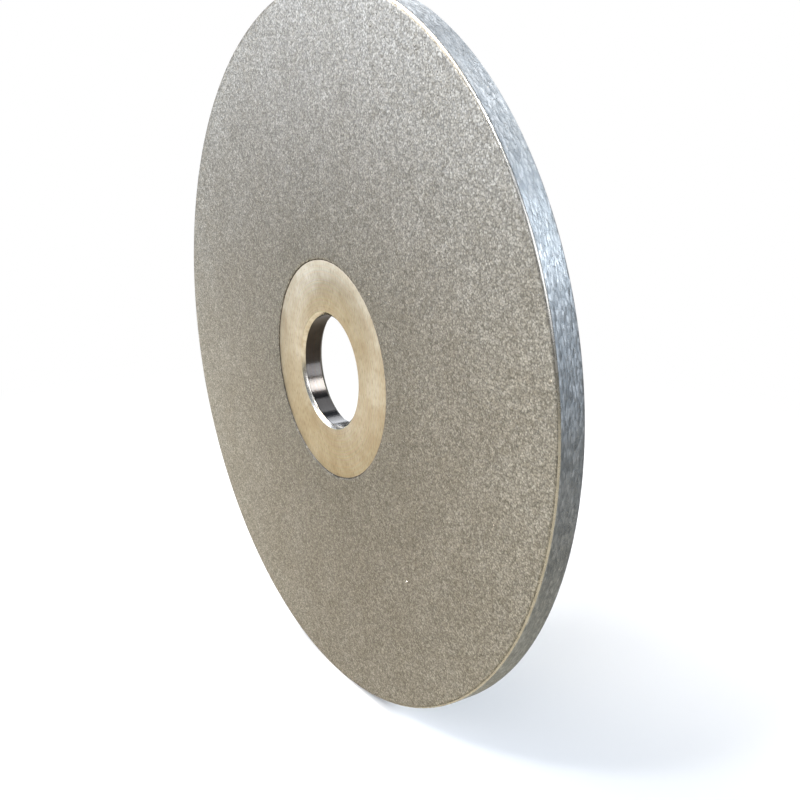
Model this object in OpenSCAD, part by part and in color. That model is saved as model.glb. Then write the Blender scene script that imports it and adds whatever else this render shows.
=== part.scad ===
// Diamond grinding wheel, plated type.
// A flat turned steel plate with a plain bore carries a thin layer of nickel
// with diamond grit in it: one coat on each face and one round the rim.
// The plate stays bare in a ring round the bore, where the flanges clamp it.

/* [Wheel] */
// Outside diameter, over the rim coat
wheel_d = 200; // [120:1:300]
// Thickness of the steel plate at the bare ring
plate_t = 7; // [4:0.25:12]
// Width of the bevel on each outer corner of the plate
corner_bevel = 0.3; // [0.1:0.05:1]

/* [Bore] */
// Diameter of the bore, which slides on the arbor
bore_d = 32; // [16:0.25:40]
// Width of the chamfer at each end of the bore
bore_chamfer = 1; // [0.25:0.05:1.5]
// Outside diameter of the bare ring that the flanges clamp
bare_ring_d = 62.5; // [46:0.5:100]
// Height of the bare ring above the ground that is plated
bare_ring_step = 0.05; // [0.02:0.01:0.08]

/* [Coat] */
// Thickness of the plated layer on each face
face_coat_t = 0.25; // [0.1:0.05:0.6]
// Thickness of the plated layer round the rim
rim_coat_t = 0.25; // [0.1:0.05:0.6]

/* [Hidden] */
$fn = 360;
wheel_r = wheel_d / 2;
plate_r = wheel_r - rim_coat_t;
bore_r = bore_d / 2;
chamfer_r = bore_r + bore_chamfer;
bare_ring_r = bare_ring_d / 2;
bevel_r = plate_r - corner_bevel;
// Heights above the middle of the plate: the bare ring, the plated ground and
// the outside of the face coat
ring_z = plate_t / 2;
ground_z = ring_z - bare_ring_step;
coat_z = ground_z + face_coat_t;
// The face coat and the rim coat meet on the line from the bevel's inner edge
// to the point where the outer face of the one runs into the slope of the other.
seam_r = bevel_r + rim_coat_t * sqrt(2) - face_coat_t;
coat_bevel = wheel_r - seam_r;

// Turns a profile of [radius, height] points about the wheel's axis, which is Y.
// Height 0 is the middle of the plate, and the front of the wheel faces -Y.
module turned(profile) {
    rotate([90, 0, 0])
    rotate_extrude()
    polygon(profile);
}

// The coat's profile on one face, side 1 or -1, from the bare ring out to the seam.
function face_coat_profile(side) = [
    [bare_ring_r, side * ground_z],
    [bevel_r, side * ground_z],
    [seam_r, side * coat_z],
    [bare_ring_r, side * coat_z]
];

module wheel_plate() {
    color("tan")
    turned([
        [chamfer_r, -ring_z],
        [bare_ring_r, -ring_z],
        [bare_ring_r, -ground_z],
        [bevel_r, -ground_z],
        [plate_r, corner_bevel - ground_z],
        [plate_r, ground_z - corner_bevel],
        [bevel_r, ground_z],
        [bare_ring_r, ground_z],
        [bare_ring_r, ring_z],
        [chamfer_r, ring_z],
        [bore_r, ring_z - bore_chamfer],
        [bore_r, bore_chamfer - ring_z]
    ]);
}

module front_diamond_coat() {
    color("darkgray")
    turned(face_coat_profile(1));
}

module back_diamond_coat() {
    color("darkgray")
    turned(face_coat_profile(-1));
}

// A band round the rim that also covers both bevels.
module rim_diamond_coat() {
    color("lightsteelblue")
    turned([
        [bevel_r, -ground_z],
        [seam_r, -coat_z],
        [wheel_r, coat_bevel - coat_z],
        [wheel_r, coat_z - coat_bevel],
        [seam_r, coat_z],
        [bevel_r, ground_z],
        [plate_r, ground_z - corner_bevel],
        [plate_r, corner_bevel - ground_z]
    ]);
}

wheel_plate();
front_diamond_coat();
rim_diamond_coat();
back_diamond_coat();
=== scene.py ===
import math
import random

import bmesh
import bpy
from mathutils import Matrix, Vector, noise


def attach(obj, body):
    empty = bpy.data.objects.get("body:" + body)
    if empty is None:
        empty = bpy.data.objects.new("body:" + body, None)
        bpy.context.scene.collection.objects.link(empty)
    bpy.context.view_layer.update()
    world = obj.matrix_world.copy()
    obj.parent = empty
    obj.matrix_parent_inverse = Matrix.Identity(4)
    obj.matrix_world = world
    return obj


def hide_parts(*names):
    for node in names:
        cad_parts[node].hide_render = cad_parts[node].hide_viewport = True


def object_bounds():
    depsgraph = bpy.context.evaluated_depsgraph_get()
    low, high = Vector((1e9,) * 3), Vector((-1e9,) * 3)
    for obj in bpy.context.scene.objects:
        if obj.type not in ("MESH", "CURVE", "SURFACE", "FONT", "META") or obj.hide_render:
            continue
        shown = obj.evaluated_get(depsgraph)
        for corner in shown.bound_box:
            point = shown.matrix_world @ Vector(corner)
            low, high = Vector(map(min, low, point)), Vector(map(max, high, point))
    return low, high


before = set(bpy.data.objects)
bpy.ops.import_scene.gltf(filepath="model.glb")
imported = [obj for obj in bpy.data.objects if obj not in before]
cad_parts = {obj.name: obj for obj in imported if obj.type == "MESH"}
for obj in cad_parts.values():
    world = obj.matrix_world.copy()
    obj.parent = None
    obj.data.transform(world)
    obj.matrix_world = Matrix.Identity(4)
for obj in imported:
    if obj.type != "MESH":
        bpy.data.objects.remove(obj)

cadLow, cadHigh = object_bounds()
mm = 0.001
slack = 0.01 * mm  # places nearer to each other than this count as one


def ringSizes(node):  # inner and outer radius, then the nearest and furthest place along the axis
    corners = [vertex.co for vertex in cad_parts[node].data.vertices]
    radii = [math.hypot(p.x, p.z) for p in corners]
    depths = [p.y for p in corners]
    return min(radii), max(radii), min(depths), max(depths)


boreRadius, plateRadius, plateFront, plateBack = ringSizes("wheel_plate")
bareRadius, seamRadius, coatFront, platedFront = ringSizes("front_diamond_coat")
wheelRadius, rimFront, rimBack = ringSizes("rim_diamond_coat")[1:]
plateCorners = [vertex.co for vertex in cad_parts["wheel_plate"].data.vertices]
chamferRadius = min(math.hypot(p.x, p.z) for p in plateCorners if p.y < plateFront + slack)
chamfer = chamferRadius - boreRadius
coatBevel = wheelRadius - seamRadius
footRadius = seamRadius - 0.1 * mm  # where the seam of a face coat and the rim coat meets the plate
plateCorner = plateRadius - footRadius
print("sizes read from the frame, wheel radius in mm:", round(wheelRadius / mm, 2))

camera = {
    "lens": 44.8,
    "bearing": 61.6,  # where the camera stands, degrees round from the front face
    "rise": 15.3,  # and above the middle of the wheel
    "distance": 2.9,  # from the middle of the front face, in wheel radii
    "heading": 57.35,  # where it looks, degrees round from straight at the front face
    "tilt": 23.15,  # down
    "shiftY": 0.135,
}


def direction(bearing, rise):  # a unit vector from the wheel to that side of it
    b, r = math.radians(bearing), math.radians(rise)
    return Vector((math.sin(b) * math.cos(r), -math.cos(b) * math.cos(r), math.sin(r)))


def makeCamera():
    lens = bpy.data.cameras.new("camera")
    lens.lens = camera["lens"]
    lens.sensor_width = 36
    lens.shift_y = camera["shiftY"]
    lens.clip_start = 0.01
    lens.clip_end = 50
    eye = bpy.data.objects.new("camera", lens)
    place = direction(camera["bearing"], camera["rise"]) * camera["distance"] * wheelRadius
    eye.location = place + Vector((0, coatFront, 0))
    eye.rotation_mode = "QUATERNION"
    eye.rotation_quaternion = (-direction(camera["heading"], camera["tilt"])).to_track_quat("-Z", "Y")
    bpy.context.collection.objects.link(eye)
    bpy.context.scene.camera = eye


def hexColour(text):  # sRGB hex to a linear colour
    parts = [int(text[i : i + 2], 16) / 255 for i in (0, 2, 4)]
    linear = [c / 12.92 if c <= 0.04045 else ((c + 0.055) / 1.055) ** 2.4 for c in parts]
    return (*linear, 1.0)


def socketOf(sockets, name):  # by number, or by name among those that the node's settings leave in use
    if isinstance(name, int):
        return sockets[name]
    return next((socket for socket in sockets if socket.name == name and socket.enabled), None)


def addNode(tree, kind, settings=None, links=None):  # a node, its settings by name, its inputs' sources
    node = tree.nodes.new(kind)
    for name, value in (settings or {}).items():
        socket = socketOf(node.inputs, name)
        if socket:
            socket.default_value = value
        else:
            setattr(node, name, value)
    for name, source in (links or {}).items():
        tree.links.new(source, socketOf(node.inputs, name))
    return node


def newMaterial(name):  # the material, its node tree and its Principled shader
    material = bpy.data.materials.new(name)
    material.use_nodes = True
    tree = material.node_tree
    return material, tree, tree.nodes["Principled BSDF"]


def rampColours(node, stops):  # stops are (place, hex)
    ramp = node.color_ramp
    while len(ramp.elements) < len(stops):
        ramp.elements.new(0.5)
    for element, (place, text) in zip(ramp.elements, stops):
        element.position = place
        element.color = hexColour(text)


lamps = {  # bearing and rise in degrees, how far off and how wide in metres, power in watts
    "topLamp": {"bearing": -50, "rise": 60, "off": 0.6, "wide": 0.3, "power": 3.1, "colour": "fff2e0"},
    "leftPanel": {"bearing": -41, "rise": 23, "off": 0.7, "wide": 0.5, "power": 5, "colour": "e4edff"},
    "nearCard": {"bearing": 37, "rise": 27, "off": 0.7, "wide": 0.3, "power": 1.1, "colour": "f6f8ff"},
    "window": {"bearing": 129, "rise": 35, "off": 1.2, "wide": 0.45, "power": 5.7, "colour": "dce7f4"},
    "backPanel": {"bearing": 182, "rise": 50, "off": 1.2, "wide": 0.7, "power": 4.4, "colour": "eef3fa"},
    "sideCard": {"bearing": 112, "rise": 8, "off": 1.2, "wide": 0.5, "power": 1.8, "colour": "d6e5fa"},
    "farCard": {"bearing": 234, "rise": 30, "off": 1.2, "wide": 0.55, "power": 3.2, "colour": "eef2f8"},
    "glint": {"bearing": 5, "rise": 52, "off": 1.3, "wide": 0.16, "power": 4, "colour": "ffffff"},
}
room = {
    "above": "c0cee2",  # the light of the room from above, at the horizon and from below
    "level": "b8b4ac",
    "strength": 0.45,
    "backdrop": "ffffff",  # what the camera sees behind the wheel
}


def lightStudio():
    for name, lamp in lamps.items():
        data = bpy.data.lights.new(name, "AREA")
        data.shape = "SQUARE"
        data.size = lamp["wide"]
        data.energy = lamp["power"]
        data.color = hexColour(lamp["colour"])[:3]
        lightObject = bpy.data.objects.new(name, data)
        towards = direction(lamp["bearing"], lamp["rise"])
        lightObject.location = towards * lamp["off"]
        lightObject.rotation_mode = "QUATERNION"
        lightObject.rotation_quaternion = towards.to_track_quat("Z", "Y")
        bpy.context.collection.objects.link(lightObject)
    world = bpy.data.worlds.new("studio")
    world.use_nodes = True
    tree = world.node_tree
    light = tree.nodes["Background"]
    light.inputs["Strength"].default_value = room["strength"]
    coords = addNode(tree, "ShaderNodeTexCoord")
    height = addNode(tree, "ShaderNodeSeparateXYZ", links={"Vector": coords.outputs["Generated"]})
    sky = addNode(tree, "ShaderNodeValToRGB", links={"Fac": height.outputs["Z"]})
    rampColours(sky, [(0.0, room["level"]), (0.6, room["above"])])
    tree.links.new(sky.outputs["Color"], light.inputs["Color"])
    backdrop = addNode(tree, "ShaderNodeBackground", {"Color": hexColour(room["backdrop"])})
    ray = addNode(tree, "ShaderNodeLightPath")
    shaders = {0: ray.outputs["Is Camera Ray"], 1: light.outputs[0], 2: backdrop.outputs[0]}
    both = addNode(tree, "ShaderNodeMixShader", links=shaders)
    tree.links.new(both.outputs[0], tree.nodes["World Output"].inputs["Surface"])
    bpy.context.scene.world = world
    bpy.context.scene.view_settings.view_transform = "Standard"


# Matt card under the wheel: pale and faintly uneven, running out into the white backdrop.
# The light that it throws back on the wheel is painted shade: warmer and darker than the card looks, and
# darker still from behind.
floorLook = {
    "pale": [(0.3, "f3f2ef"), (0.7, "f8f7f5")],
    "thrownBack": [(0.0, "d8ccb2"), (1.0, "736e67")],  # from in front of the wheel to behind it
    "behind": (0.0, 0.08),  # metres along the axis, where one gives way to the other
    "fade": (0.08, 0.4),  # metres from under the wheel, where the backdrop takes over
    "radius": 12,
}


def cardMaterial():
    material, tree, shader = newMaterial("matt_card")
    coords = addNode(tree, "ShaderNodeTexCoord")
    place = coords.outputs["Object"]
    cloud = addNode(tree, "ShaderNodeTexNoise", {"Scale": 3.0, "Detail": 2.0}, {"Vector": place})
    shade = addNode(tree, "ShaderNodeValToRGB", links={"Fac": cloud.outputs["Fac"]})
    rampColours(shade, floorLook["pale"])
    ray = addNode(tree, "ShaderNodeLightPath")
    seen = ray.outputs["Is Camera Ray"]
    parts = addNode(tree, "ShaderNodeSeparateXYZ", links={"Vector": place})
    near, far = floorLook["behind"]
    settings = {"From Min": near, "From Max": far}
    behind = addNode(tree, "ShaderNodeMapRange", settings, {"Value": parts.outputs["Y"]})
    bounce = addNode(tree, "ShaderNodeValToRGB", links={"Fac": behind.outputs["Result"]})
    rampColours(bounce, floorLook["thrownBack"])
    # rays other than the camera's see the darker, warmer card: painted shade
    sources = {"Factor": seen, "A": bounce.outputs["Color"], "B": shade.outputs["Color"]}
    colour = addNode(tree, "ShaderNodeMix", {"data_type": "RGBA"}, sources)
    tree.links.new(socketOf(colour.outputs, "Result"), shader.inputs["Base Color"])
    shader.inputs["Roughness"].default_value = 0.9
    reach = addNode(tree, "ShaderNodeVectorMath", {"operation": "LENGTH"}, {0: place})
    near, far = floorLook["fade"]
    settings = {"From Min": near, "From Max": far, "interpolation_type": "SMOOTHSTEP"}
    fade = addNode(tree, "ShaderNodeMapRange", settings, {"Value": reach.outputs["Value"]})
    both = addNode(tree, "ShaderNodeMath", {"operation": "MULTIPLY"}, {0: fade.outputs["Result"], 1: seen})
    white = addNode(tree, "ShaderNodeEmission", {"Color": hexColour(room["backdrop"])})
    shaders = {0: both.outputs[0], 1: shader.outputs[0], 2: white.outputs[0]}
    mixed = addNode(tree, "ShaderNodeMixShader", links=shaders)
    tree.links.new(mixed.outputs[0], tree.nodes["Material Output"].inputs["Surface"])
    return material


def makeFloor():
    bm = bmesh.new()
    bmesh.ops.create_circle(bm, cap_ends=True, segments=96, radius=floorLook["radius"])
    bmesh.ops.translate(bm, verts=bm.verts, vec=(0, 0, cadLow.z))
    mesh = bpy.data.meshes.new("floor")
    bm.to_mesh(mesh)
    bm.free()
    mesh.materials.append(cardMaterial())
    floor = bpy.data.objects.new("floor", mesh)
    bpy.context.collection.objects.link(floor)


makeCamera()
lightStudio()
makeFloor()
print("camera, light and floor are set")


def turned(profile, steps):  # a bmesh turned about the wheel's axis from (radius, depth) points
    bm = bmesh.new()
    points = [bm.verts.new((radius, depth, 0)) for radius, depth in profile]
    edges = [bm.edges.new(pair) for pair in zip(points, points[1:] + points[:1])]
    whole = {"cent": (0, 0, 0), "axis": (0, 1, 0), "angle": 2 * math.pi, "steps": steps, "use_merge": True}
    bmesh.ops.spin(bm, geom=points + edges, **whole)
    bmesh.ops.recalc_face_normals(bm, faces=bm.faces[:])
    return bm


def roundCorners(bm, sharper, width, segments):
    corners = [edge for edge in bm.edges if edge.is_manifold and edge.calc_face_angle() > sharper]
    shape = {"offset": width, "affect": "EDGES", "segments": segments, "profile": 0.5, "material": -1}
    bmesh.ops.bevel(bm, geom=corners, **shape)


def reachOf(spot):  # how far a place is from the wheel's axis
    return math.hypot(spot.x, spot.z)


def finishPiece(name, bm, materials, node=None, smooth=True):
    mesh = bpy.data.meshes.new(name)
    bm.to_mesh(mesh)
    bm.free()
    for material in materials:
        mesh.materials.append(material)
    if smooth:
        mesh.shade_smooth()
    piece = bpy.data.objects.new(name, mesh)
    bpy.context.collection.objects.link(piece)
    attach(piece, "root")
    if node:
        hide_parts(node)
    print(name, "done,", len(mesh.polygons), "faces")
    return piece


plate = {
    "steps": 256,  # round the wheel
    "edge": 0.06 * mm,  # rounding left by a touch of emery on each corner
    "feed": 0.25 * mm,  # tool marks in the bore
    "groove": 0.006 * mm,
    "ringColours": [(0.3, "b0a188"), (0.5, "bbaf97"), (0.72, "c9c0ad")],  # from stained to clean
    "boreColours": [(0.3, "6d6156"), (0.7, "8c7f73")],
    "lowShade": "2c2723",  # painted shade in the lower part of the bore
    "stain": "5c5142",
}


# Bare carbon steel, faced on a lathe: fine rings that spread each highlight along the
# radius, a warm cast where it has begun to tarnish, small dark pits and a few scratches.
def facedSteelMaterial():
    material, tree, shader = newMaterial("faced_carbon_steel")
    coords = addNode(tree, "ShaderNodeTexCoord")
    place = coords.outputs["Object"]
    flat = addNode(tree, "ShaderNodeVectorMath", {"operation": "MULTIPLY", 1: (1, 0, 1)}, {0: place})
    radius = addNode(tree, "ShaderNodeVectorMath", {"operation": "LENGTH"}, {0: flat.outputs["Vector"]})
    # a turning feed of 0.12 mm, drawn at 0.35 mm so that it still shows
    settings = {"noise_dimensions": "1D", "Scale": 1 / (0.35 * mm), "Detail": 3.0}
    feed = addNode(tree, "ShaderNodeTexNoise", settings, {"W": radius.outputs["Value"]})
    settings = {"Scale": 1 / (8 * mm), "Detail": 5.0, "Roughness": 0.65}
    broad = addNode(tree, "ShaderNodeTexNoise", settings, {"Vector": place})
    tarnish = addNode(tree, "ShaderNodeValToRGB", links={"Fac": broad.outputs["Fac"]})
    rampColours(tarnish, plate["ringColours"])
    settings = {"data_type": "RGBA", "blend_type": "MULTIPLY", "Factor": 0.3}
    sources = {"A": tarnish.outputs["Color"], "B": feed.outputs["Color"]}
    rings = addNode(tree, "ShaderNodeMix", settings, sources)
    speck = addNode(tree, "ShaderNodeTexVoronoi", {"Scale": 1 / (1.3 * mm)}, {"Vector": place})
    size = addNode(tree, "ShaderNodeSeparateColor", links={"Color": speck.outputs["Color"]})
    settings = {"operation": "MULTIPLY_ADD", 1: -0.18, 2: 0.182}  # most cells have a pit too small to see
    edge = addNode(tree, "ShaderNodeMath", settings, {0: size.outputs["Red"]})
    pitLinks = {"Value": speck.outputs["Distance"], "From Max": edge.outputs[0]}
    pit = addNode(tree, "ShaderNodeMapRange", {"From Min": 0.0, "To Min": 0.8, "To Max": 0.0}, pitLinks)
    settings = {"operation": "MULTIPLY", 1: (1.0, 1.0, 0.2)}
    long = addNode(tree, "ShaderNodeVectorMath", settings, {0: place})
    settings = {"Scale": 1 / (0.35 * mm), "Detail": 2.0, "Roughness": 0.4}
    scuff = addNode(tree, "ShaderNodeTexNoise", settings, {"Vector": long.outputs["Vector"]})
    settings = {"From Min": 0.5, "From Max": 0.85, "To Min": 0.0, "To Max": 0.6}
    scratch = addNode(tree, "ShaderNodeMapRange", settings, {"Value": scuff.outputs["Fac"]})
    marks = {0: pit.outputs["Result"], 1: scratch.outputs["Result"]}
    mark = addNode(tree, "ShaderNodeMath", {"operation": "MAXIMUM"}, marks)
    settings = {"data_type": "RGBA", "B": hexColour(plate["stain"])}
    links = {"Factor": mark.outputs[0], "A": socketOf(rings.outputs, "Result")}
    colour = addNode(tree, "ShaderNodeMix", settings, links)
    tree.links.new(socketOf(colour.outputs, "Result"), shader.inputs["Base Color"])
    settings = {"To Min": 0.38, "To Max": 0.56}
    rough = addNode(tree, "ShaderNodeMapRange", settings, {"Value": broad.outputs["Fac"]})
    tree.links.new(rough.outputs["Result"], shader.inputs["Roughness"])
    settings = {"Strength": 0.3, "Distance": 0.02 * mm}
    bump = addNode(tree, "ShaderNodeBump", settings, {"Height": feed.outputs["Fac"]})
    tree.links.new(bump.outputs["Normal"], shader.inputs["Normal"])
    around = addNode(tree, "ShaderNodeTangent", {"direction_type": "RADIAL", "axis": "Y"})
    tree.links.new(around.outputs["Tangent"], shader.inputs["Tangent"])
    shader.inputs["Metallic"].default_value = 1.0
    shader.inputs["Anisotropic"].default_value = 0.4
    return material


# The same steel in the bore, bored in one pass, under a thin clear oily skin: a deep brown-grey
# with painted shade that darkens it low down, lit only in narrow glossy bands across the tool's rings.
def boredSteelMaterial():
    material, tree, shader = newMaterial("bored_carbon_steel")
    coords = addNode(tree, "ShaderNodeTexCoord")
    place = coords.outputs["Object"]
    along = addNode(tree, "ShaderNodeSeparateXYZ", links={"Vector": place})
    settings = {"noise_dimensions": "1D", "Scale": 1 / (0.3 * mm), "Detail": 4.0, "Roughness": 0.7}
    feed = addNode(tree, "ShaderNodeTexNoise", settings, {"W": along.outputs["Y"]})
    settings = {"Scale": 1 / (5 * mm), "Detail": 4.0}
    skin = addNode(tree, "ShaderNodeTexNoise", settings, {"Vector": place})
    shade = addNode(tree, "ShaderNodeValToRGB", links={"Fac": skin.outputs["Fac"]})
    rampColours(shade, plate["boreColours"])
    settings = {"data_type": "RGBA", "blend_type": "MULTIPLY", "Factor": 0.6}
    sources = {"A": shade.outputs["Color"], "B": feed.outputs["Color"]}
    rings = addNode(tree, "ShaderNodeMix", settings, sources)
    # painted shade: darker towards the bottom of the bore
    settings = {"From Min": -0.58 * boreRadius, "From Max": -0.68 * boreRadius}
    low = addNode(tree, "ShaderNodeMapRange", settings, {"Value": along.outputs["Z"]})
    settings = {"data_type": "RGBA", "B": hexColour(plate["lowShade"])}
    sources = {"Factor": low.outputs["Result"], "A": socketOf(rings.outputs, "Result")}
    shadedLow = addNode(tree, "ShaderNodeMix", settings, sources)
    tree.links.new(socketOf(shadedLow.outputs, "Result"), shader.inputs["Base Color"])
    settings = {"To Min": 0.1, "To Max": 0.24}
    rough = addNode(tree, "ShaderNodeMapRange", settings, {"Value": feed.outputs["Fac"]})
    tree.links.new(rough.outputs["Result"], shader.inputs["Roughness"])
    settings = {"Strength": 0.7, "Distance": 0.02 * mm}
    bump = addNode(tree, "ShaderNodeBump", settings, {"Height": feed.outputs["Fac"]})
    tree.links.new(bump.outputs["Normal"], shader.inputs["Normal"])
    tree.links.new(bump.outputs["Normal"], shader.inputs["Coat Normal"])
    shader.inputs["Coat Weight"].default_value = 0.6
    shader.inputs["Coat Roughness"].default_value = 0.08
    shader.inputs["Metallic"].default_value = 1.0
    return material


# Chamfer cut last, with a sharp tool: clean bright steel
def chamferSteelMaterial():
    material, tree, shader = newMaterial("fresh_cut_steel")
    coords = addNode(tree, "ShaderNodeTexCoord")
    settings = {"Scale": 1 / (2 * mm), "Detail": 3.0}
    patch = addNode(tree, "ShaderNodeTexNoise", settings, {"Vector": coords.outputs["Object"]})
    shade = addNode(tree, "ShaderNodeValToRGB", links={"Fac": patch.outputs["Fac"]})
    rampColours(shade, [(0.35, "b9b2a4"), (0.65, "d2cec6")])
    tree.links.new(shade.outputs["Color"], shader.inputs["Base Color"])
    settings = {"To Min": 0.16, "To Max": 0.3}
    rough = addNode(tree, "ShaderNodeMapRange", settings, {"Value": patch.outputs["Fac"]})
    tree.links.new(rough.outputs["Result"], shader.inputs["Roughness"])
    shader.inputs["Metallic"].default_value = 1.0
    return material


def makePlate():
    straight = plateBack - plateFront - 2 * chamfer
    count = int(straight / plate["feed"] * 2)
    wall = []  # the bore's wall, from back to front, with the tool's grooves
    for i in range(count + 1):
        wall.append((boreRadius + plate["groove"] * (i % 2), plateBack - chamfer - straight * i / count))
    profile = [
        (chamferRadius, plateFront),
        (bareRadius, plateFront),
        (bareRadius, platedFront),
        (plateRadius - plateCorner, platedFront),
        (plateRadius, platedFront + plateCorner),
        (plateRadius, -platedFront - plateCorner),
        (plateRadius - plateCorner, -platedFront),
        (bareRadius, -platedFront),
        (bareRadius, plateBack),
        (chamferRadius, plateBack),
        *wall,
    ]
    bm = turned(profile, plate["steps"])
    roundCorners(bm, 0.5, plate["edge"], 2)
    margin = plate["edge"] / 2
    for face in bm.faces:
        reach = reachOf(face.calc_center_median())
        if reach < boreRadius + margin:
            face.material_index = 1
        elif reach < chamferRadius - margin:
            face.material_index = 2
    steels = [facedSteelMaterial(), boredSteelMaterial(), chamferSteelMaterial()]
    finishPiece("steel_plate", bm, steels, "wheel_plate")


makePlate()

faceLook = {
    "grain": 0.5 * mm,  # 60 mesh grit is 0.25 mm, drawn at 0.5 mm so that it still shows
    "clump": 0.9 * mm,  # grains that lie together, a little darker or lighter than the next
    "stretch": 1.0,  # how far the grain is drawn out round the wheel
    "dome": 0.6,
    "facet": 0.9,
    "bump": 0.06,
    "hollowShade": 0.6,
    "cloud": 16 * mm,
    "colours": [(0.0, "94928b"), (0.5, "aaa8a1"), (1.0, "c0beb6")],
    "clumps": [(0.0, "d8d6d2"), (1.0, "ffffff")],
    "clouds": [(0.3, "efede9"), (0.7, "ffffff")],
    "hubShade": [(0.0, "d6d4d0"), (0.4, "e8e6e4"), (1.0, "ffffff")],  # painted shade: darker towards the bare ring, lighter out to the rim
    # the nickel between the grains, darkened by painted shade
    "nickel": "4b4944",
    "roughness": (0.42, 0.58),
    "metallic": 0.75,
}
rimLook = dict(
    faceLook,
    grain=0.55 * mm,
    stretch=2.8,  # the rim was plated while the wheel turned, which drags the grit into streaks
    bump=0.17,
    hollowShade=0.45,
    # these colours and the rim's nickel are lighter and bluer than the face's: painted reflection of the cool
    # window light on the same grit
    colours=[(0.0, "9fa3a5"), (0.5, "b2b5b6"), (1.0, "c8cacb")],
    clumps=[(0.0, "e2e2e2"), (1.0, "ffffff")],
    nickel="83888a",
    roughness=(0.32, 0.48),
)


def unrolled(tree, place, radius, stretch):  # laid out round the wheel, from a seam under it
    parts = addNode(tree, "ShaderNodeSeparateXYZ", links={"Vector": place})
    angleLinks = {0: parts.outputs["X"], 1: parts.outputs["Z"]}
    angle = addNode(tree, "ShaderNodeMath", {"operation": "ARCTAN2"}, angleLinks)
    settings = {"operation": "MULTIPLY", 1: wheelRadius / stretch}
    around = addNode(tree, "ShaderNodeMath", settings, {0: angle.outputs[0]})
    links = {"X": around.outputs[0], "Y": parts.outputs["Y"], "Z": radius.outputs["Value"]}
    return addNode(tree, "ShaderNodeCombineXYZ", links=links).outputs["Vector"]


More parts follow.
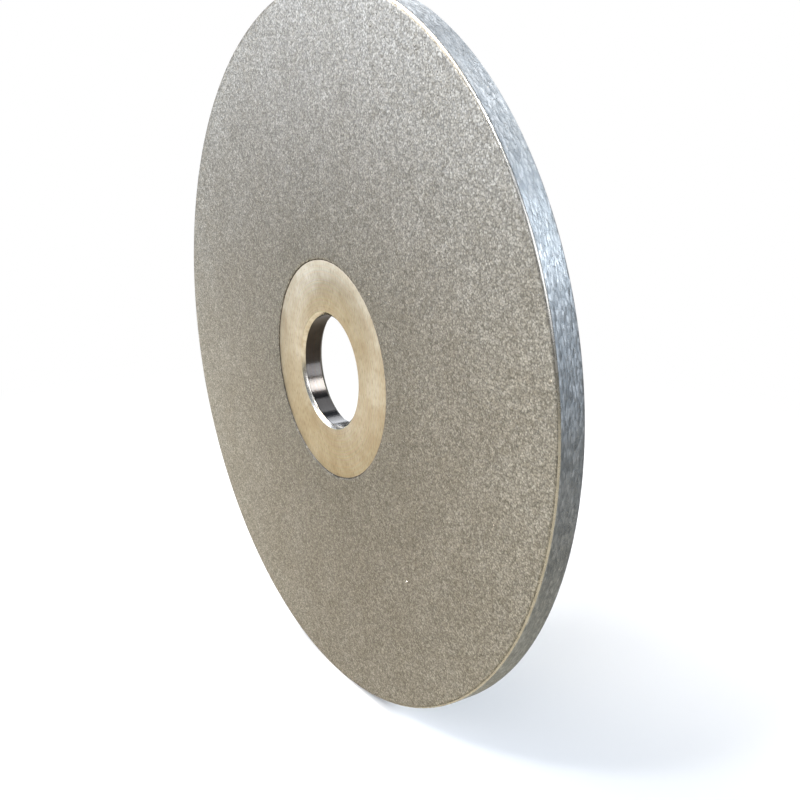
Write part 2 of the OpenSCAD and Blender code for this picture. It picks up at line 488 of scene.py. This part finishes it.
# Nickel plated round packed diamond grit: matt grey metal, broken up by crystals that each
# tilt their own way, so the surface is speckled light and dark, with painted shade on the nickel between
# them.
def gritMaterial(name, look):
    material, tree, shader = newMaterial(name)
    coords = addNode(tree, "ShaderNodeTexCoord")
    place = coords.outputs["Object"]
    flat = addNode(tree, "ShaderNodeVectorMath", {"operation": "MULTIPLY", 1: (1, 0, 1)}, {0: place})
    radius = addNode(tree, "ShaderNodeVectorMath", {"operation": "LENGTH"}, {0: flat.outputs["Vector"]})
    if look["stretch"] > 1:
        place = unrolled(tree, place, radius, look["stretch"])
    cells = addNode(tree, "ShaderNodeTexVoronoi", {"Scale": 1 / look["grain"]}, {"Vector": place})
    fromMiddle = {0: place, 1: cells.outputs["Position"]}
    away = addNode(tree, "ShaderNodeVectorMath", {"operation": "SUBTRACT"}, fromMiddle)
    settings = {"operation": "SUBTRACT", 1: (0.5, 0.5, 0.5)}
    tilt = addNode(tree, "ShaderNodeVectorMath", settings, {0: cells.outputs["Color"]})
    leaning = {0: away.outputs["Vector"], 1: tilt.outputs["Vector"]}
    facet = addNode(tree, "ShaderNodeVectorMath", {"operation": "DOT_PRODUCT"}, leaning)
    settings = {"operation": "MULTIPLY", 1: -look["dome"]}
    dome = addNode(tree, "ShaderNodeMath", settings, {0: cells.outputs["Distance"]})
    settings = {"operation": "MULTIPLY_ADD", 1: look["facet"] / look["grain"]}
    height = addNode(tree, "ShaderNodeMath", settings, {0: facet.outputs["Value"], 2: dome.outputs[0]})
    settings = {"Strength": look["bump"], "Distance": look["grain"]}
    bump = addNode(tree, "ShaderNodeBump", settings, {"Height": height.outputs[0]})
    tree.links.new(bump.outputs["Normal"], shader.inputs["Normal"])
    pick = addNode(tree, "ShaderNodeSeparateColor", links={"Color": cells.outputs["Color"]})
    body = addNode(tree, "ShaderNodeValToRGB", links={"Fac": pick.outputs["Red"]})
    rampColours(body, look["colours"])
    clump = addNode(tree, "ShaderNodeTexVoronoi", {"Scale": 1 / look["clump"]}, {"Vector": place})
    shade = addNode(tree, "ShaderNodeSeparateColor", links={"Color": clump.outputs["Color"]})
    clumps = addNode(tree, "ShaderNodeValToRGB", links={"Fac": shade.outputs["Red"]})
    rampColours(clumps, look["clumps"])
    settings = {"Scale": 1 / look["cloud"], "Detail": 5.0, "Roughness": 0.65}
    cloud = addNode(tree, "ShaderNodeTexNoise", settings, {"Vector": coords.outputs["Object"]})
    clouds = addNode(tree, "ShaderNodeValToRGB", links={"Fac": cloud.outputs["Fac"]})
    rampColours(clouds, look["clouds"])
    settings = {"data_type": "RGBA", "blend_type": "MULTIPLY", "Factor": 1.0}
    sources = {"A": body.outputs["Color"], "B": clumps.outputs["Color"]}
    grouped = addNode(tree, "ShaderNodeMix", settings, sources)
    sources = {"A": socketOf(grouped.outputs, "Result"), "B": clouds.outputs["Color"]}
    blend = addNode(tree, "ShaderNodeMix", settings, sources)
    # painted shade: the grit darkens towards the bare ring
    ends = {"From Min": bareRadius, "From Max": wheelRadius}
    outwards = addNode(tree, "ShaderNodeMapRange", ends, {"Value": radius.outputs["Value"]})
    hubShade = addNode(tree, "ShaderNodeValToRGB", links={"Fac": outwards.outputs["Result"]})
    rampColours(hubShade, look["hubShade"])
    sources = {"A": socketOf(blend.outputs, "Result"), "B": hubShade.outputs["Color"]}
    shadedByHub = addNode(tree, "ShaderNodeMix", settings, sources)
    # painted shade in the hollows between the grains
    settings = {"From Min": 0.4, "From Max": 0.75, "To Min": 0.0, "To Max": look["hollowShade"]}
    hollowShade = addNode(tree, "ShaderNodeMapRange", settings, {"Value": cells.outputs["Distance"]})
    settings = {"data_type": "RGBA", "B": hexColour(look["nickel"])}
    links = {"Factor": hollowShade.outputs["Result"], "A": socketOf(shadedByHub.outputs, "Result")}
    colour = addNode(tree, "ShaderNodeMix", settings, links)
    tree.links.new(socketOf(colour.outputs, "Result"), shader.inputs["Base Color"])
    settings = {"To Min": look["roughness"][0], "To Max": look["roughness"][1]}
    rough = addNode(tree, "ShaderNodeMapRange", settings, {"Value": pick.outputs["Green"]})
    tree.links.new(rough.outputs["Result"], shader.inputs["Roughness"])
    shader.inputs["Metallic"].default_value = look["metallic"]
    return material


# Nickel over the bevel, where no grit holds: a smooth bright line with a faint satin bloom
def cornerNickelMaterial():
    material, tree, shader = newMaterial("plain_plated_nickel")
    coords = addNode(tree, "ShaderNodeTexCoord")
    settings = {"Scale": 1 / (3 * mm), "Detail": 3.0}
    bloom = addNode(tree, "ShaderNodeTexNoise", settings, {"Vector": coords.outputs["Object"]})
    shade = addNode(tree, "ShaderNodeValToRGB", links={"Fac": bloom.outputs["Fac"]})
    rampColours(shade, [(0.35, "a3a19a"), (0.65, "b5b3ad")])
    tree.links.new(shade.outputs["Color"], shader.inputs["Base Color"])
    settings = {"To Min": 0.2, "To Max": 0.34}
    rough = addNode(tree, "ShaderNodeMapRange", settings, {"Value": bloom.outputs["Fac"]})
    tree.links.new(rough.outputs["Result"], shader.inputs["Roughness"])
    shader.inputs["Metallic"].default_value = 1.0
    return material


coat = {
    "steps": 512,  # round a face
    "pitch": 0.75 * mm,  # between rings of the mesh
    "lumps": 0.035 * mm,  # height of the plated lumps
    "lumpSize": 0.7 * mm,
    "fade": 1 * mm,  # the lumps of a face die away over this much before the bevel
    "rimFade": 0.2 * mm,  # and the rim has none nearer to it than this
    "edgeWander": 0.7 * mm,  # the mask's edge round the bare ring
    "edgeWave": 2 * mm,
    "edgeSlope": 0.15 * mm,  # how far the coat thins out at it
    "edgeDrop": 0.06 * mm,
    "edgeShadeBand": 0.25 * mm,  # painted shade along it
    "corner": 0.08 * mm,  # rounding of the bevel's two edges
}


def faceCoat(side):  # side -1 is the front, 1 the back
    rings = round((seamRadius - bareRadius) / coat["pitch"])
    top = -coatFront * side
    bottom = -platedFront * side
    surface = [(bareRadius + (seamRadius - bareRadius) * i / rings, top) for i in range(rings + 1)]
    bm = turned(surface + [(footRadius, bottom), (bareRadius, bottom)], coat["steps"])
    for vertex in bm.verts:
        spot = vertex.co
        if abs(spot.y - top) < slack:
            reach = reachOf(spot)
            fade = min(max((seamRadius - reach) / coat["fade"], 0), 1)
            spot.y += side * coat["lumps"] * noise.noise(spot / coat["lumpSize"]) * fade
            if reach < bareRadius + slack:
                wander = abs(noise.noise(spot / coat["edgeWave"]))
                spot *= 1 + (coat["edgeSlope"] + coat["edgeWander"] * wander) / bareRadius
                spot.y = top - side * coat["edgeDrop"]
    for face in bm.faces:
        # faces along the mask's edge take the darker grit: painted shade
        if reachOf(face.calc_center_median()) < bareRadius + coat["edgeShadeBand"]:
            face.material_index = 1
    return bm


def rimCoat():
    width = rimBack - rimFront - 2 * coatBevel
    rows = round(width / coat["pitch"])
    surface = [(wheelRadius, rimFront + coatBevel + width * i / rows) for i in range(rows + 1)]
    profile = [
        (footRadius, platedFront),
        (seamRadius, rimFront),
        *surface,
        (seamRadius, rimBack),
        (footRadius, -platedFront),
        (plateRadius, -platedFront - plateCorner),
        (plateRadius, platedFront + plateCorner),
    ]
    bm = turned(profile, 2 * coat["steps"])
    roundCorners(bm, 0.6, coat["corner"], 2)
    for face in bm.faces:
        if abs(face.calc_center_median().y) > rimBack - coatBevel - slack:
            face.material_index = 1
    for vertex in bm.verts:
        spot = vertex.co
        inside = rimBack - coatBevel - abs(spot.y)
        if reachOf(spot) > wheelRadius - slack and inside > coat["rimFade"]:
            lump = coat["lumps"] * noise.noise(spot / coat["lumpSize"]) / wheelRadius
            spot.x *= 1 + lump
            spot.z *= 1 + lump
    return bm


edgeShadeLook = dict(faceLook, colours=[(0.0, "56544e"), (1.0, "77746c")])  # darker grit along the mask's edge: painted shade
grits = [gritMaterial("nickel_plated_grit_face", faceLook), gritMaterial("grit_at_mask_edge_painted_shade", edgeShadeLook)]
finishPiece("front_coat", faceCoat(-1), grits, "front_diamond_coat")
finishPiece("back_coat", faceCoat(1), grits, "back_diamond_coat")
rimMaterials = [gritMaterial("nickel_plated_grit_rim", rimLook), cornerNickelMaterial()]
finishPiece("rim_coat", rimCoat(), rimMaterials, "rim_diamond_coat")

crystals = {
    "blocks": {"count": 24000, "size": 0.21 * mm, "proud": 0.12 * mm, "taper": 0.55},  # flat on top
    "splinters": {"count": 48000, "size": 0.2 * mm, "proud": 0.09 * mm, "taper": 0},  # pointed
    "rim": {"count": 12000, "size": 0.16 * mm, "proud": 0.06 * mm, "taper": 0.5},
    "sizes": (0.6, 1),  # smallest and largest, as parts of the size above
    "widths": (0.75, 1.1),
    "heights": (0.8, 1),
    "foot": 1.15,  # radius at the foot and height, in sizes
    "tall": 2,
    "lean": 0.5,  # how far a crystal may lie over, in radians
    "fromRing": 0.45 * mm,  # ground with no crystals, by the bare ring, the seam and the bevel
    "fromSeam": 0.15 * mm,
    "fromBevel": 0.1 * mm,
    "sectors": 12,  # equal parts that each layer of crystals is made of
    "seed": 20,
}


# Crushed diamond grit, drowned to the shoulders in nickel: hard facets over a grey body,
# a few of them clean enough to flash.
def diamondMaterial():
    material, tree, shader = newMaterial("plated_diamond_grit")
    tint = addNode(tree, "ShaderNodeAttribute", {"attribute_name": "tint"})
    body = addNode(tree, "ShaderNodeValToRGB", links={"Fac": tint.outputs["Fac"]})
    rampColours(body, [(0.0, "75736d"), (0.5, "a3a19b"), (1.0, "cbc9c2")])
    tree.links.new(body.outputs["Color"], shader.inputs["Base Color"])
    settings = {"From Min": 0.87, "From Max": 0.93, "To Min": 0.66, "To Max": 0.07}
    rough = addNode(tree, "ShaderNodeMapRange", settings, {"Value": tint.outputs["Fac"]})
    tree.links.new(rough.outputs["Result"], shader.inputs["Roughness"])
    shader.inputs["Metallic"].default_value = 0.6
    return material


def crystalShape(look):  # one crystal, standing on Z
    size = look["size"]
    ends = {"radius1": size * crystals["foot"], "radius2": size * look["taper"]}
    bm = bmesh.new()
    bmesh.ops.create_cone(bm, cap_ends=True, segments=3, depth=size * crystals["tall"], **ends)
    mesh = bpy.data.meshes.new("crystal")
    bm.to_mesh(mesh)
    bm.free()
    return mesh


def crystalSector(look, spots, dice):  # spots are (place, outward direction)
    shape = crystalShape(look)
    bm = bmesh.new()
    for spot, outward in spots:
        size = dice.uniform(*crystals["sizes"])
        place = (
            Matrix.Translation(spot + outward * (look["proud"] - look["size"]) * size)
            @ outward.to_track_quat("Z", "Y").to_matrix().to_4x4()
            @ Matrix.Rotation(dice.uniform(0, 2 * math.pi), 4, "Z")
            @ Matrix.Rotation(dice.uniform(-crystals["lean"], crystals["lean"]), 4, "X")
            @ Matrix.Diagonal(
                (size * dice.uniform(*crystals["widths"]), size, size * dice.uniform(*crystals["heights"]), 1)
            )
        )
        shape.transform(place)
        bm.from_mesh(shape)
        shape.transform(place.inverted())
    mesh = bpy.data.meshes.new("sector")
    bm.to_mesh(mesh)
    bm.free()
    return mesh, len(shape.polygons)


def crystalPiece(name, sector, facesEach, dice):
    whole = bmesh.new()
    for _ in range(crystals["sectors"]):
        sector.transform(Matrix.Rotation(2 * math.pi / crystals["sectors"], 4, "Y"))
        whole.from_mesh(sector)
    piece = finishPiece(name, whole, [diamond], smooth=False)
    tint = piece.data.attributes.new("tint", "FLOAT", "FACE")
    count = len(piece.data.polygons) // facesEach
    tint.data.foreach_set("value", [shade for _ in range(count) for shade in [dice.random()] * facesEach])


def faceSpots(count, dice):  # scattered evenly over one sector of the front coat
    inner = bareRadius + crystals["fromRing"]
    outer = seamRadius - crystals["fromSeam"]
    for _ in range(count // crystals["sectors"]):
        radius = math.sqrt(dice.uniform(inner**2, outer**2))
        angle = dice.random() * 2 * math.pi / crystals["sectors"]
        yield Vector((radius * math.cos(angle), coatFront, radius * math.sin(angle))), Vector((0, -1, 0))


def rimSpots(count, dice):
    reach = rimBack - coatBevel - crystals["fromBevel"]
    for _ in range(count // crystals["sectors"]):
        angle = dice.random() * 2 * math.pi / crystals["sectors"]
        outward = Vector((math.cos(angle), 0, math.sin(angle)))
        yield outward * wheelRadius + Vector((0, dice.uniform(-reach, reach), 0)), outward


diamond = diamondMaterial()
dice = random.Random(crystals["seed"])
for kind in ("blocks", "splinters"):
    sector, facesEach = crystalSector(crystals[kind], faceSpots(crystals[kind]["count"], dice), dice)
    crystalPiece("front_diamond_" + kind, sector, facesEach, dice)
    sector.transform(Matrix.Rotation(math.pi, 4, "Z"))  # over to the back
    crystalPiece("back_diamond_" + kind, sector, facesEach, dice)
sector, facesEach = crystalSector(crystals["rim"], rimSpots(crystals["rim"]["count"], dice), dice)
crystalPiece("rim_diamond_blocks", sector, facesEach, dice)
